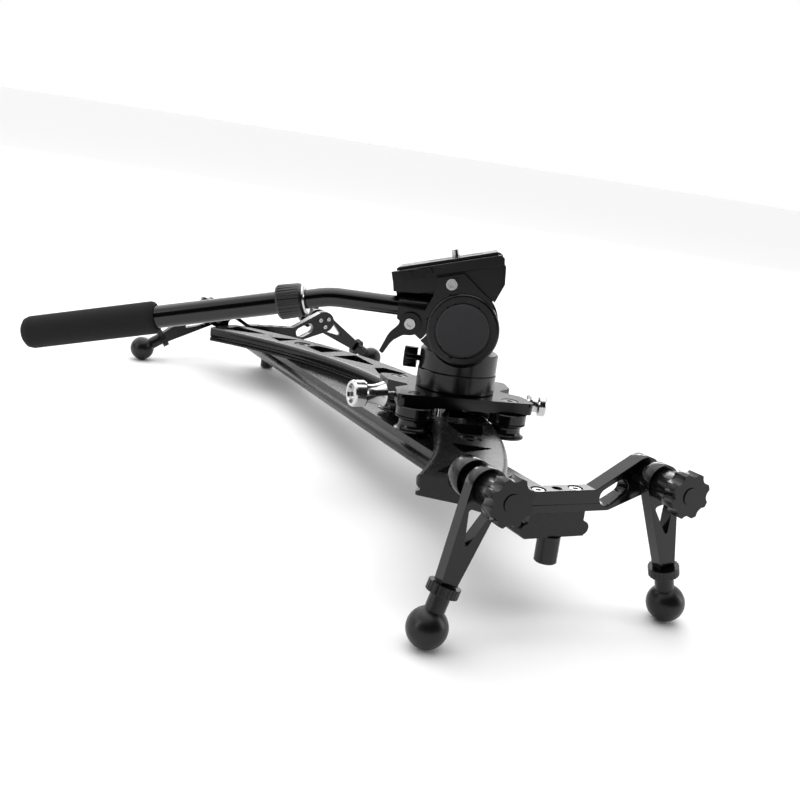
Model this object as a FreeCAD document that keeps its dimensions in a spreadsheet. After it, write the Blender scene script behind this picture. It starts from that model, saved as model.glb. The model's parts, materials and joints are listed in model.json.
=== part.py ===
"""Curved-track camera slider with four folding legs, a roller carriage and a fluid pan-and-tilt head.

Units are millimetres.  The slider frame has its origin at the top centre of the near end
bracket: +X runs along the rail to the near end, +Y points across the rail to the outer side of
the arc, +Z points up from the rail.  The whole slider then leans by the rail's slope, so that
its four ball feet stand on the plane Z = 0, with the origin below the middle of its footprint.
"""
import FreeCAD, Part
import math
import os

import Sketcher

from FreeCAD import Placement, Rotation, Vector

os.makedirs("parts", exist_ok=True)
doc = FreeCAD.newDocument("camera_slider")
sheet = doc.addObject("Spreadsheet::Sheet", "sizes")

SIZES = [
    # the rail, the curved track and the end brackets
    ("rail_length", 600.0), ("rail_width", 53.0), ("rail_neck_width", 43.0), ("rail_height", 17.0),
    ("rail_neck_height", 6.3), ("rail_foot_half", 23.0), ("rail_overhang", 5.0), ("rail_slope", 3.75),
    ("bracket_spacing", 590.0), ("bracket_height", 14.5), ("bracket_thick", 11.6),
    ("block_half_width", 27.0), ("pivot_half_span", 66.0), ("pivot_rise", 9.0), ("boss_radius", 12.5),
    ("wing_slot_length", 23.5), ("wing_slot_width", 12.2), ("wing_slot_angle", 30.0),
    ("wing_slot_across", 41.9), ("wing_slot_drop", 2.6),
    ("bracket_screw_offset", 14.4), ("screw_head_radius", 4.25), ("screw_shank_radius", 2.5),
    ("counterbore_radius", 4.8), ("counterbore_depth", 5.2), ("accessory_hole_radius", 3.175),
    ("track_radius", 409.2), ("track_half_width", 26.5), ("track_thick", 14.5), ("track_half_angle", 42.5),
    ("track_centre_across", 365.5), ("track_outer_corner", 14.0), ("track_inner_corner", 4.0),
    ("track_bolt_head_radius", 8.0), ("track_bolt_radius", 4.0), ("track_bore_radius", 8.7),
    ("track_bore_depth", 8.6), ("track_bead", 4.7), ("track_groove", 3.9),
    ("stud_radius", 7.5), ("stud_length", 18.4), ("stud_thread_radius", 4.7625), ("stud_thread_depth", 13.0),
    ("tripod_hole_radius", 4.7625), ("tripod_hole_depth", 11.0), ("quarter_hole_offset", 60.0),
    # the legs
    ("spacer_radius", 8.5), ("spacer_length", 8.2), ("axle_radius", 4.0), ("axle_length", 28.0),
    ("axle_screw_radius", 1.5), ("axle_screw_head_radius", 2.4), ("axle_screw_circle", 5.9),
    ("leg_plane", 18.65), ("leg_thick", 8.7), ("leg_head_radius", 12.4), ("leg_length", 90.8),
    ("leg_tip_reach", 62.0), ("leg_tip_half_width", 5.8), ("near_leg_angle", 16.8), ("run_clearance", 0.05),
    ("gap", 0.3), ("lock_ring_radius", 10.3), ("lock_ring_height", 6.2), ("stem_radius", 4.0),
    ("neck_radius", 6.4), ("ball_radius", 13.0), ("stem_in_leg", 16.0),
    ("knob_radius", 15.0), ("knob_thick", 9.8), ("knob_hub_radius", 10.6), ("knob_hub_length", 15.0),
    ("knob_cap_radius", 5.8), ("knob_dent_radius", 5.2),
    # the carriage
    ("carriage_angle", 13.64), ("plate_top", 18.7), ("plate_thick", 9.5), ("wheelbase_half", 33.6),
    ("disc_radius", 15.3), ("disc_height", 8.0), ("roller_radius", 15.3), ("roller_groove_radius", 12.0),
    ("roller_height", 12.0), ("bearing_radius", 8.0), ("roller_bolt_radius", 4.0),
    ("plate_half_length", 41.0), ("plate_half_width", 57.0),
    ("brake_big_radius", 10.6), ("brake_small_radius", 9.2), ("brake_rear_radius", 5.4),
    ("brake_height", 13.4), ("guide_pin_radius", 2.05),
    # the fluid head
    ("base_radius", 32.6), ("base_height", 15.4), ("pan_height", 16.9), ("pan_scoop_radius", 30.2),
    ("pan_shaft_radius", 8.0), ("pan_shaft_length", 12.0), ("tilt_height", 71.6), ("drum_radius", 23.5),
    ("drum_half_length", 26.2), ("cheek_inner", 26.5), ("cheek_outer", 32.4), ("ring_radius", 29.0),
    ("ring_outer_face", 35.0), ("cap_radius", 20.8), ("cap_face", 36.6), ("tilt_axle_radius", 6.0),
    ("rest_tilt", 16.0), ("head_turn", 59.4),
    ("receiver_bottom", 45.0), ("receiver_top", 53.4), ("receiver_front", 40.4), ("receiver_back", -49.4),
    ("receiver_half_width", 27.0), ("dovetail_half_top", 19.0), ("dovetail_half_bottom", 22.5),
    ("dovetail_depth", 5.0), ("plate_length", 80.0), ("quick_plate_rise", 2.6),
    ("clamp_bolt_back", 42.0), ("clamp_bolt_drop", 0.6), ("clamp_inner", 4.6), ("clamp_outer", 26.0),
    ("sleeve_radius", 10.4), ("handle_rise", 10.9), ("handle_depth", 15.3),
    # the pan handle
    ("tube_radius", 7.8), ("tube_wall", 1.5), ("handle_bend", 14.4), ("bend_radius", 70.0),
    ("bend_start", 101.3), ("outer_tube_radius", 9.4), ("collar_radius", 14.0), ("collar_length", 21.5),
    ("grip_radius", 13.6), ("grip_length", 115.6), ("outer_tube_bare", 103.3),
]


class Size:
    """A number together with the sheet expression that it comes from."""

    def __init__(self, value, text):
        self.value = value
        self.text = text

    def __add__(self, other):
        other = as_size(other)
        return Size(self.value + other.value, f"({self.text} + {other.text})")

    def __sub__(self, other):
        other = as_size(other)
        return Size(self.value - other.value, f"({self.text} - {other.text})")

    def __mul__(self, factor):
        return Size(self.value * factor, f"({self.text} * {factor})")

    def __neg__(self):
        return self * -1


def as_size(number):
    """Wrap a plain number, so that sums of sizes and numbers work."""
    return number if isinstance(number, Size) else Size(float(number), str(float(number)))


size = {}
for row, (alias, value) in enumerate(SIZES, start=1):
    sheet.set(f"A{row}", alias)
    sheet.set(f"B{row}", str(value))
    sheet.setAlias(f"B{row}", alias)
    size[alias] = Size(value, f"sizes.{alias}")
doc.recompute()


def num(alias):
    """The plain number of a cell."""
    return size[alias].value


# ---------------------------------------------------------------- frames
SLOPE = math.radians(num("rail_slope"))
LEAN = Rotation(Vector(0, 1, 0), -num("rail_slope"))
LOWEST = (num("leg_plane") * math.sin(SLOPE)
          + (num("pivot_rise") - num("leg_length") * math.cos(math.radians(num("near_leg_angle"))))
          * math.cos(SLOPE) - num("ball_radius"))
FOOTPRINT_MIDDLE = Vector(-294.957, -67.846, 0)
SLIDER = Placement(Vector(0, 0, -LOWEST) - FOOTPRINT_MIDDLE, LEAN)

ARC_CENTRE = Vector(-num("bracket_spacing") / 2, -num("track_centre_across"), 0)


def turned(vector, axis, degrees):
    """A placement at a point, turned about an axis."""
    return Placement(vector, Rotation(axis, degrees))


def arc_point(radius, degrees, height=0.0):
    """A point on the slider, given by its radius and angle about the track's arc centre."""
    angle = math.radians(degrees)
    return ARC_CENTRE + Vector(radius * math.sin(angle), radius * math.cos(angle), height)


CARRIAGE = SLIDER * turned(arc_point(num("track_radius"), num("carriage_angle")),
                           Vector(0, 0, 1), -num("carriage_angle"))
CARRIAGE_IN_SLIDER = SLIDER.inverse() * CARRIAGE
HEAD = CARRIAGE * turned(Vector(0, 0, 0), Vector(0, 0, 1), num("carriage_angle") + num("head_turn"))
HEAD_AXIS = HEAD * Placement(Vector(0, 0, num("tilt_height")), Rotation())
TILT = HEAD_AXIS * turned(Vector(0, 0, 0), Vector(0, 1, 0), -num("rest_tilt"))
FACE_VIEWER = Rotation(Vector(1, 0, 0), 90)


# ---------------------------------------------------------------- helpers
parts = []
problems = []


def keep(thing, name, placement):
    """Give a sub-part its name and place, and list it for export."""
    thing.Label = name
    thing.Placement = placement
    parts.append(thing)
    return thing


def new_body(name):
    """An empty PartDesign body."""
    return doc.addObject("PartDesign::Body", name)


def bind(thing, prop, amount):
    """Set a property to a size and tie it to the sheet."""
    amount = as_size(amount)
    setattr(thing, prop, amount.value)
    if "sizes." in amount.text:
        thing.setExpression(prop, amount.text)


def sketch_on(body, role, lift=0.0, turn=None):
    """A sketch on one of the body's own origin planes, lifted along the plane's normal."""
    plane = [f for f in body.Origin.OriginFeatures if f.Role == role][0]
    sketch = body.newObject("Sketcher::SketchObject", body.Name + "_sketch")
    sketch.AttachmentSupport = (plane, [""])
    sketch.MapMode = "FlatFace"
    sketch.AttachmentOffset = Placement(Vector(0, 0, as_size(lift).value), turn or Rotation())
    if "sizes." in as_size(lift).text:
        sketch.setExpression("AttachmentOffset.Base.z", as_size(lift).text)
    return sketch


def circle(sketch, x, y, radius):
    """A circle whose centre and radius follow the sheet."""
    x, y, radius = as_size(x), as_size(y), as_size(radius)
    index = sketch.addGeometry(Part.Circle(Vector(x.value, y.value, 0), Vector(0, 0, 1), radius.value))
    limit(sketch, Sketcher.Constraint("Radius", index, radius.value), radius)
    for kind, place in (("DistanceX", x), ("DistanceY", y)):
        limit(sketch, Sketcher.Constraint(kind, -1, 1, index, 3, place.value), place)
    return index


def limit(sketch, constraint, amount):
    """Add a dimension and tie it to the sheet where its size comes from there."""
    index = sketch.addConstraint(constraint)
    if "sizes." in amount.text:
        sketch.setExpression(f"Constraints[{index}]", amount.text)


def outline(sketch, points):
    """A closed polygon whose corners follow the sheet."""
    points = [(as_size(x), as_size(y)) for x, y in points]
    ends = points[1:] + points[:1]
    first = sketch.GeometryCount
    for (ax, ay), (bx, by) in zip(points, ends):
        sketch.addGeometry(Part.LineSegment(Vector(ax.value, ay.value, 0), Vector(bx.value, by.value, 0)))
    count = len(points)
    for i in range(count):
        sketch.addConstraint(Sketcher.Constraint("Coincident", first + i, 2, first + (i + 1) % count, 1))
    for i, (x, y) in enumerate(points):
        limit(sketch, Sketcher.Constraint("DistanceX", -1, 1, first + i, 1, x.value), x)
        limit(sketch, Sketcher.Constraint("DistanceY", -1, 1, first + i, 1, y.value), y)


def rounded_edges(corners):
    """Lines and tangent arcs of a closed polygon whose corners (x, y, radius) are rounded."""
    count = len(corners)
    runs = []
    for i in range(count):
        here = Vector(corners[i][0], corners[i][1], 0)
        before = Vector(corners[i - 1][0], corners[i - 1][1], 0)
        after = Vector(corners[(i + 1) % count][0], corners[(i + 1) % count][1], 0)
        into = (before - here).normalize()
        away = (after - here).normalize()
        half = into.getAngle(away) / 2
        radius = corners[i][2] if len(corners[i]) > 2 else 0
        if radius <= 0 or abs(math.pi / 2 - half) < 1e-6:
            runs.append((here, None, here))
            continue
        reach = radius / math.tan(half)
        middle = here + (into + away).normalize() * (radius / math.sin(half) - radius)
        runs.append((here + into * reach, middle, here + away * reach))
    edges = []
    for i, (start, middle, end) in enumerate(runs):
        if middle is not None:
            edges.append(Part.Arc(start, middle, end))
        following = runs[(i + 1) % count][0]
        if end.distanceToPoint(following) > 1e-6:
            edges.append(Part.LineSegment(end, following))
    return edges


def rounded(sketch, corners):
    """Draw a closed outline with rounded corners."""
    for edge in rounded_edges([[as_size(value).value for value in corner] for corner in corners]):
        sketch.addGeometry(edge)


def pad(body, sketch, length, both=False, reverse=False):
    """Pad a sketch by a size."""
    feature = body.newObject("PartDesign::Pad", body.Name + "_pad")
    feature.Profile = sketch
    bind(feature, "Length", length)
    feature.Midplane = both
    feature.Reversed = reverse
    sketch.Visibility = False
    return feature


def pocket(body, sketch, length=None, both=False, reverse=False):
    """Cut a sketch into the body, to a depth or through all."""
    feature = body.newObject("PartDesign::Pocket", body.Name + "_pocket")
    feature.Profile = sketch
    if length is None:
        feature.Type = "ThroughAll"
    else:
        bind(feature, "Length", length)
    feature.Midplane = both
    feature.Reversed = reverse
    return feature


def revolve(body, sketch, angle=360.0, both=False):
    """Turn a sketch about the body's Z axis (the sketch's vertical axis)."""
    feature = body.newObject("PartDesign::Revolution", body.Name + "_turn")
    feature.Profile = sketch
    feature.ReferenceAxis = (sketch, ["V_Axis"])
    bind(feature, "Angle", angle)
    feature.Midplane = both
    return feature


def turned_part(name, profile, placement):
    """A body turned about its Z axis from a half profile of (radius, height) points."""
    body = new_body(name)
    sketch = sketch_on(body, "XZ_Plane")
    outline(sketch, profile)
    body.Tip = revolve(body, sketch)
    return keep(body, name, placement)


def polar(body, feature, count):
    """Repeat a feature about the body's Z axis."""
    pattern = body.newObject("PartDesign::PolarPattern", body.Name + "_ring")
    pattern.Originals = [feature]
    axis = [f for f in body.Origin.OriginFeatures if f.Role == "Z_Axis"][0]
    pattern.Axis = (axis, [""])
    pattern.Angle = 360.0
    pattern.Occurrences = count
    body.Tip = pattern
    return pattern


def soften(body, feature, radius, wanted):
    """Round the circular edges of a feature that meet a condition."""
    doc.recompute()
    names = [f"Edge{i}" for i, edge in enumerate(feature.Shape.Edges, start=1)
             if hasattr(edge.Curve, "Radius") and wanted(edge)]
    fillet = body.newObject("PartDesign::Fillet", body.Name + "_fillet")
    fillet.Base = (feature, names)
    bind(fillet, "Radius", radius)
    body.Tip = fillet
    return fillet


def rod(radius, length, base=Vector(0, 0, 0), axis=Vector(0, 0, 1)):
    """A plain cylinder shape for small fasteners."""
    return Part.makeCylinder(radius, length, base, axis)


def cap_screw(head_radius, head_height, shank_radius, shank_length, socket_radius):
    """A socket-head screw along -Z, with the underside of its head at the origin."""
    head = rod(head_radius, head_height)
    head = head.makeFillet(head_height * 0.12, [head.Edges[0]] if head.Edges[0].Vertexes[0].Z > 0
                           else [e for e in head.Edges if e.Curve.TypeId == "Part::GeomCircle"
                                 and e.Curve.Center.z > head_height * 0.5])
    socket = hexagon_prism(socket_radius, head_height * 0.55)
    socket.translate(Vector(0, 0, head_height * 0.45))
    shank = rod(shank_radius, shank_length, Vector(0, 0, -shank_length))
    return head.cut(socket).fuse(shank).removeSplitter()


def hexagon_prism(radius, height):
    """A hexagonal prism on the XY plane."""
    corners = [Vector(radius * math.cos(k * math.pi / 3), radius * math.sin(k * math.pi / 3), 0)
               for k in range(7)]
    return Part.Face(Part.makePolygon(corners)).extrude(Vector(0, 0, height))


def group(name, shapes, placement):
    """One or more separate solids in one node."""
    feature = doc.addObject("Part::Feature", name)
    feature.Shape = Part.makeCompound(shapes)
    return keep(feature, name, placement)


def placed(shape, placement):
    """A copy of a shape, moved."""
    copy = shape.copy()
    copy.Placement = placement * copy.Placement
    return copy


# ---------------------------------------------------------------- rail and track
def mirrored_outline(sketch, start, runs, middle=0.0):
    """A closed outline, given down its right side as lines (end,) and arcs (through, end)."""
    def drawn(points):
        if len(points) == 2:
            return Part.LineSegment(points[0], points[1])
        return Part.Arc(points[0], points[1], points[2])

    def across(point):
        return Vector(2 * middle - point.x, point.y, 0)

    first = Vector(*start, 0)
    here = first
    for run in runs:
        points = [here] + [Vector(x, y, 0) for x, y in run]
        sketch.addGeometry(drawn(points))
        sketch.addGeometry(drawn([across(point) for point in points]))
        here = points[-1]
    sketch.addGeometry(Part.LineSegment(across(first), first))
    sketch.addGeometry(Part.LineSegment(here, across(here)))


def make_rail():
    """The straight base rail: a beaded extrusion with its bolt and tripod holes."""
    body = new_body("base_rail")
    sketch = sketch_on(body, "YZ_Plane")
    half = num("rail_width") / 2
    neck = num("rail_neck_width") / 2
    foot = num("rail_foot_half")
    mirrored_outline(sketch, (neck, 0), [
        [(neck, -num("rail_neck_height"))], [(foot, -7.2)], [(half, -11.7), (foot + 0.4, -16.2)],
        [(foot, -num("rail_height"))]])
    pad(body, sketch, size["rail_length"], both=True)
    top = sketch_on(body, "XY_Plane")
    for end in (-1, 1):
        for side in (-1, 1):
            circle(top, size["bracket_spacing"] * (end / 2), size["bracket_screw_offset"] * side,
                   size["screw_shank_radius"])
    for end in (-1, 1):
        circle(top, end * TRACK_CROSSING, 0, size["track_bolt_radius"])
    pocket(body, top, 12.0)
    under = sketch_on(body, "XY_Plane", -size["rail_height"])
    circle(under, 0, 0, size["tripod_hole_radius"])
    for end in (-1, 1):
        circle(under, size["quarter_hole_offset"] * end, 0, size["accessory_hole_radius"])
    body.Tip = pocket(body, under, size["tripod_hole_depth"], reverse=True)
    middle = Vector(-num("bracket_spacing") / 2, 0, -num("bracket_height"))
    keep(body, "base_rail", SLIDER * Placement(middle, Rotation()))


TRACK_CROSSING = math.sqrt(num("track_radius") ** 2 - num("track_centre_across") ** 2)
CROSSING_ANGLE = math.degrees(math.asin(TRACK_CROSSING / num("track_radius")))
WINDOW_INNER = num("track_radius") - 15.4
WINDOW_OUTER = num("track_radius") + 17.0
# the truss windows of one half, by their corners' radius and angle from the arc's middle
TRACK_WINDOWS = [
    [(WINDOW_INNER, 40.8), (WINDOW_INNER + 7.0, 36.6), (413.0, 34.2), (WINDOW_OUTER - 3.0, 40.8)],
    [(WINDOW_INNER, 29.4), (404.0, 32.5), (WINDOW_OUTER, 29.4)],
    [(WINDOW_INNER + 1.0, 20.4), (402.5, 24.8), (419.0, 24.8), (WINDOW_OUTER, 20.4)],
    [(WINDOW_INNER, 17.7), (WINDOW_OUTER, 17.7), (413.0, 10.8)],
    [(WINDOW_INNER, 5.6), (405.0, 9.5), (417.0, 9.5), (WINDOW_OUTER, 5.6)],
]


def polar_xy(radius, degrees):
    """A point of the track's plan, with the arc centre at the origin and 0 degrees along +Y."""
    angle = math.radians(degrees)
    return (radius * math.sin(angle), radius * math.cos(angle))


def window(sketch, corners, corner_radius=1.6):
    """A window in the track between polar corners (radius, degrees)."""
    rounded(sketch, [(*polar_xy(radius, degrees), corner_radius) for radius, degrees in corners])


def make_track():
    """The curved track: a beaded section swept round its arc, with truss windows cut through."""
    body = new_body("curved_track")
    sketch = sketch_on(body, "XZ_Plane")
    half = num("track_half_width")
    bead = num("track_bead")
    radius = num("track_radius")
    edge = radius + half
    groove = edge - num("track_groove")
    low = -bead - math.sqrt(bead ** 2 - (bead - num("track_groove")) ** 2)
    mirrored_outline(sketch, (edge - bead, 0), [
        [(edge - bead * (1 - math.cos(0.7)), -bead * (1 - math.sin(0.7))), (edge, -bead)],
        [(edge - bead * (1 - math.cos(0.8)), -bead * (1 + math.sin(0.8))), (groove, low)],
        [(groove, -11.4)], [(edge - 1.2, -11.9)], [(edge - 1.2, -num("track_thick"))]], radius)
    revolve(body, sketch, size["track_half_angle"] * 2, both=True)
    cut = sketch_on(body, "XY_Plane", turn=Rotation(Vector(0, 0, 1), -90))
    for side in (-1, 1):
        for corners in TRACK_WINDOWS:
            window(cut, [(across, side * along) for across, along in corners])
        circle(cut, *polar_xy(radius, side * 33.1), 1.8)
        circle(cut, *polar_xy(radius, side * CROSSING_ANGLE), size["track_bolt_radius"])
    window(cut, [(WINDOW_INNER, -2.9), (WINDOW_OUTER, -2.9), (WINDOW_OUTER, 2.9), (WINDOW_INNER, 2.9)])
    pocket(body, cut)
    bores = sketch_on(body, "XY_Plane", turn=Rotation(Vector(0, 0, 1), -90))
    for side in (-1, 1):
        circle(bores, *polar_xy(radius, side * CROSSING_ANGLE), size["track_bore_radius"])
    pocket(body, bores, size["track_bore_depth"])
    ends = sketch_on(body, "XY_Plane", turn=Rotation(Vector(0, 0, 1), -90))
    for side in (-1, 1):
        round_corner(ends, radius + half, side, num("track_outer_corner"), -1)
        round_corner(ends, radius - half, side, num("track_inner_corner"), 1)
    body.Tip = pocket(body, ends)
    keep(body, "curved_track", SLIDER * Placement(ARC_CENTRE, Rotation(Vector(0, 0, 1), 90)))


def round_corner(sketch, radius, side, corner, inward):
    """The sliver outside a rounded corner of the track's end."""
    angle = math.radians(num("track_half_angle")) * side
    along = Vector(math.cos(angle), -math.sin(angle), 0) * side
    across = Vector(math.sin(angle), math.cos(angle), 0) * inward
    tip = Vector(radius * math.sin(angle), radius * math.cos(angle), 0)
    spare = 3.0
    centre = tip - along * corner + across * corner
    start = centre + along * corner
    end = centre - across * corner
    middle = centre + (along - across).normalize() * corner
    far_side = end - across * spare
    far_tip = tip + along * spare - across * spare
    far_end = start + along * spare
    sketch.addGeometry(Part.Arc(start, middle, end))
    for a, b in ((end, far_side), (far_side, far_tip), (far_tip, far_end), (far_end, start)):
        sketch.addGeometry(Part.LineSegment(a, b))


def make_track_bolts():
    """The two cap screws that hold the curved track on the rail."""
    bolt = cap_screw(num("track_bolt_head_radius"), 7.6, num("track_bolt_radius") - num("run_clearance"),
                     17.0, 3.4)
    height = -num("track_bore_depth")
    spots = [arc_point(num("track_radius"), side * CROSSING_ANGLE, height) for side in (-1, 1)]
    group("track_bolts", [placed(bolt, Placement(spot, Rotation())) for spot in spots], SLIDER)


def tangent_point(point, centre, radius, left):
    """Where a line from a point touches a circle, on its left or right side."""
    reach = centre - point
    distance = reach.Length
    lean = math.asin(radius / distance) * (1 if left else -1)
    heading = math.atan2(reach.y, reach.x) + lean
    length = math.sqrt(distance ** 2 - radius ** 2)
    return point + Vector(math.cos(heading), math.sin(heading), 0) * length


def wing_outline(sketch):
    """The gull-wing outline: a middle block whose wings rise to a round boss at each end."""
    boss = num("boss_radius")
    centre = Vector(num("pivot_half_span"), num("pivot_rise"), 0)
    top = Vector(num("block_half_width"), 0, 0)
    low = Vector(39.3, -num("bracket_height"), 0)
    high_touch = tangent_point(top, centre, boss, left=True)
    low_touch = tangent_point(low, centre, boss, left=False)
    outermost = centre + Vector(boss, 0, 0)

    def mirrored(point):
        return Vector(-point.x, point.y, 0)

    sketch.addGeometry(Part.LineSegment(mirrored(top), top))
    sketch.addGeometry(Part.LineSegment(top, high_touch))
    sketch.addGeometry(Part.Arc(high_touch, outermost, low_touch))
    sketch.addGeometry(Part.LineSegment(low_touch, low))
    sketch.addGeometry(Part.LineSegment(low, mirrored(low)))
    sketch.addGeometry(Part.LineSegment(mirrored(low), mirrored(low_touch)))
    sketch.addGeometry(Part.Arc(mirrored(low_touch), mirrored(outermost), mirrored(high_touch)))
    sketch.addGeometry(Part.LineSegment(mirrored(high_touch), mirrored(top)))


def make_bracket(name, end):
    """An end bracket.  Its outer face, where the legs pivot, points along its own +X."""
    body = new_body(name)
    sketch = sketch_on(body, "YZ_Plane")
    wing_outline(sketch)
    pad(body, sketch, size["bracket_thick"], both=True)
    slots = sketch_on(body, "YZ_Plane")
    for side in (-1, 1):
        slot(slots, side * num("wing_slot_across"), -num("wing_slot_drop"), num("wing_slot_length"),
             num("wing_slot_width"), num("wing_slot_angle") * side)
    pocket(body, slots, 40.0, both=True)
    drill = sketch_on(body, "YZ_Plane")
    for side in (-1, 1):
        for k in range(3):
            angle = math.radians(20 + 120 * k)
            circle(drill, side * num("pivot_half_span") + num("axle_screw_circle") * math.cos(angle),
                   num("pivot_rise") + num("axle_screw_circle") * math.sin(angle),
                   size["axle_screw_radius"] + size["run_clearance"])
    pocket(body, drill, 40.0, both=True)
    top = sketch_on(body, "XY_Plane")
    circle(top, 0, 0, size["accessory_hole_radius"])
    for side in (-1, 1):
        circle(top, 0, size["bracket_screw_offset"] * side, size["screw_shank_radius"] + size["run_clearance"])
    pocket(body, top)
    bores = sketch_on(body, "XY_Plane")
    for side in (-1, 1):
        circle(bores, 0, size["bracket_screw_offset"] * side, size["counterbore_radius"])
    body.Tip = pocket(body, bores, size["counterbore_depth"])
    keep(body, name, END_FRAMES[end])


def slot(sketch, x, y, length, width, degrees):
    """A round-ended slot outline, leaning by an angle."""
    along = Vector(math.cos(math.radians(degrees)), math.sin(math.radians(degrees)), 0)
    across = Vector(-along.y, along.x, 0) * (width / 2)
    middle = Vector(x, y, 0)
    head = middle + along * (length - width) / 2
    tail = middle - along * (length - width) / 2
    sketch.addGeometry(Part.LineSegment(tail - across, head - across))
    sketch.addGeometry(Part.Arc(head - across, head + along * (width / 2), head + across))
    sketch.addGeometry(Part.LineSegment(head + across, tail + across))
    sketch.addGeometry(Part.Arc(tail + across, tail - along * (width / 2), tail - across))


END_FRAMES = {
    "near": SLIDER,
    "far": SLIDER * turned(Vector(-num("bracket_spacing"), 0, 0), Vector(0, 0, 1), 180),
}


def make_bracket_screws():
    """Four cap screws that hold the brackets on the rail."""
    screw = cap_screw(num("screw_head_radius"), 4.6, num("screw_shank_radius") - num("run_clearance"),
                      19.0, 2.3)
    screws = []
    for frame in END_FRAMES.values():
        for side in (-1, 1):
            spot = Vector(0, side * num("bracket_screw_offset"), -num("counterbore_depth"))
            screws.append(placed(screw, SLIDER.inverse() * frame * Placement(spot, Rotation())))
    group("bracket_screws", screws, SLIDER)


def corner_frame(end, side):
    """The frame of a leg pivot: its origin on the pivot axis, +X outward along the axis."""
    return END_FRAMES[end] * Placement(Vector(0, side * num("pivot_half_span"), num("pivot_rise")),
                                       Rotation())


# The legs are named as they stand: near or far end, then inner or outer side of the arc.
CORNERS = {
    "near_inner": ("near", -1), "near_outer": ("near", 1),
    "far_inner": ("far", 1), "far_outer": ("far", -1),
}
FAR_DROP = (math.cos(math.radians(num("near_leg_angle")))
            - math.tan(SLOPE) * (num("bracket_spacing") + 2 * num("leg_plane")) / num("leg_length"))
LEG_ANGLES = {"near": num("near_leg_angle"), "far": math.degrees(math.acos(FAR_DROP))}


def leg_frame(corner):
    """The frame of a leg: its origin on the pivot axis, -Z down the leg, +X outward."""
    end, side = CORNERS[corner]
    lean = Rotation(Vector(1, 0, 0), side * LEG_ANGLES[end])
    return corner_frame(end, side) * Placement(Vector(num("leg_plane"), 0, 0), lean)


def make_pivot_axles():
    """Four leg axles: a flanged spacer screwed to the bracket's boss, and its plain shaft."""
    flange_start = num("bracket_thick") / 2
    x_axis = Vector(1, 0, 0)
    axle = rod(num("spacer_radius"), num("spacer_length"), Vector(flange_start, 0, 0), x_axis)
    axle = axle.fuse(rod(num("axle_radius"), num("axle_length"),
                         Vector(flange_start + num("spacer_length"), 0, 0), x_axis))
    for k in range(3):
        angle = math.radians(20 + 120 * k)
        spot = Vector(flange_start, num("axle_screw_circle") * math.cos(angle),
                      num("axle_screw_circle") * math.sin(angle))
        axle = axle.cut(rod(num("axle_screw_radius"), 6.0, spot, x_axis))
    inverse = SLIDER.inverse()
    axles = [placed(axle.removeSplitter(), inverse * corner_frame(*CORNERS[corner])) for corner in CORNERS]
    group("leg_axles", axles, SLIDER)


def make_axle_screws():
    """Twelve small screws, three through each boss into its axle flange."""
    screw = cap_screw(num("axle_screw_head_radius"), 1.8,
                      num("axle_screw_radius") - num("run_clearance"), num("bracket_thick") + 5.0, 1.3)
    screws = []
    inverse = SLIDER.inverse()
    for corner in CORNERS:
        for k in range(3):
            angle = math.radians(20 + 120 * k)
            spot = Vector(-num("bracket_thick") / 2, num("axle_screw_circle") * math.cos(angle),
                          num("axle_screw_circle") * math.sin(angle))
            place = corner_frame(*CORNERS[corner]) * Placement(spot, Rotation(Vector(0, 1, 0), -90))
            screws.append(placed(screw, inverse * place))
    group("axle_screws", screws, SLIDER)


def make_studs():
    """Two light-stand studs under the rail's ends, each with a threaded socket."""
    studs = []
    for end in (0, 1):
        top = -num("bracket_height") - num("rail_height")
        spot = Vector(-num("bracket_spacing") * end, 0, top - num("stud_length"))
        stud = rod(num("stud_radius"), num("stud_length"), spot)
        stud = stud.makeChamfer(0.7, [e for e in stud.Edges if e.Curve.TypeId == "Part::GeomCircle"
                                      and abs(e.Curve.Center.z - spot.z) < 0.01])
        studs.append(stud.cut(rod(num("stud_thread_radius"), num("stud_thread_depth"), spot)))
    group("stand_studs", studs, SLIDER)


# ---------------------------------------------------------------- legs
def make_leg(corner):
    """A leg arm: a round head, tapering sides, a triangular window and a tip for the foot's stem."""
    body = new_body("leg_arm_" + corner)
    head = num("leg_head_radius")
    tip = Vector(num("leg_tip_half_width"), -num("leg_tip_reach"), 0)
    touch = tangent_point(tip, Vector(0, 0, 0), head, left=False)
    sketch = sketch_on(body, "YZ_Plane")
    left_tip = Vector(-tip.x, tip.y, 0)
    left_touch = Vector(-touch.x, touch.y, 0)
    sketch.addGeometry(Part.Arc(touch, Vector(0, head, 0), left_touch))
    sketch.addGeometry(Part.LineSegment(left_touch, left_tip))
    sketch.addGeometry(Part.LineSegment(left_tip, tip))
    sketch.addGeometry(Part.LineSegment(tip, touch))
    pad(body, sketch, size["leg_thick"], both=True)
    cut = sketch_on(body, "YZ_Plane")
    circle(cut, 0, 0, size["axle_radius"] + size["run_clearance"])
    rounded(cut, [(-8.0, -14.6, 1.8), (8.0, -14.6, 1.8), (0, -39.5, 1.4)])
    pocket(body, cut, 40.0, both=True)
    tip_hole = sketch_on(body, "XY_Plane", -size["leg_tip_reach"])
    circle(tip_hole, 0, 0, size["stem_radius"] + size["run_clearance"])
    body.Tip = pocket(body, tip_hole, size["stem_in_leg"] + 9.0, reverse=True)
    keep(body, "leg_arm_" + corner, leg_frame(corner))


RING_TOP = num("leg_tip_reach") + num("gap")
NECK_TOP = RING_TOP + num("lock_ring_height") + num("gap")


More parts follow.
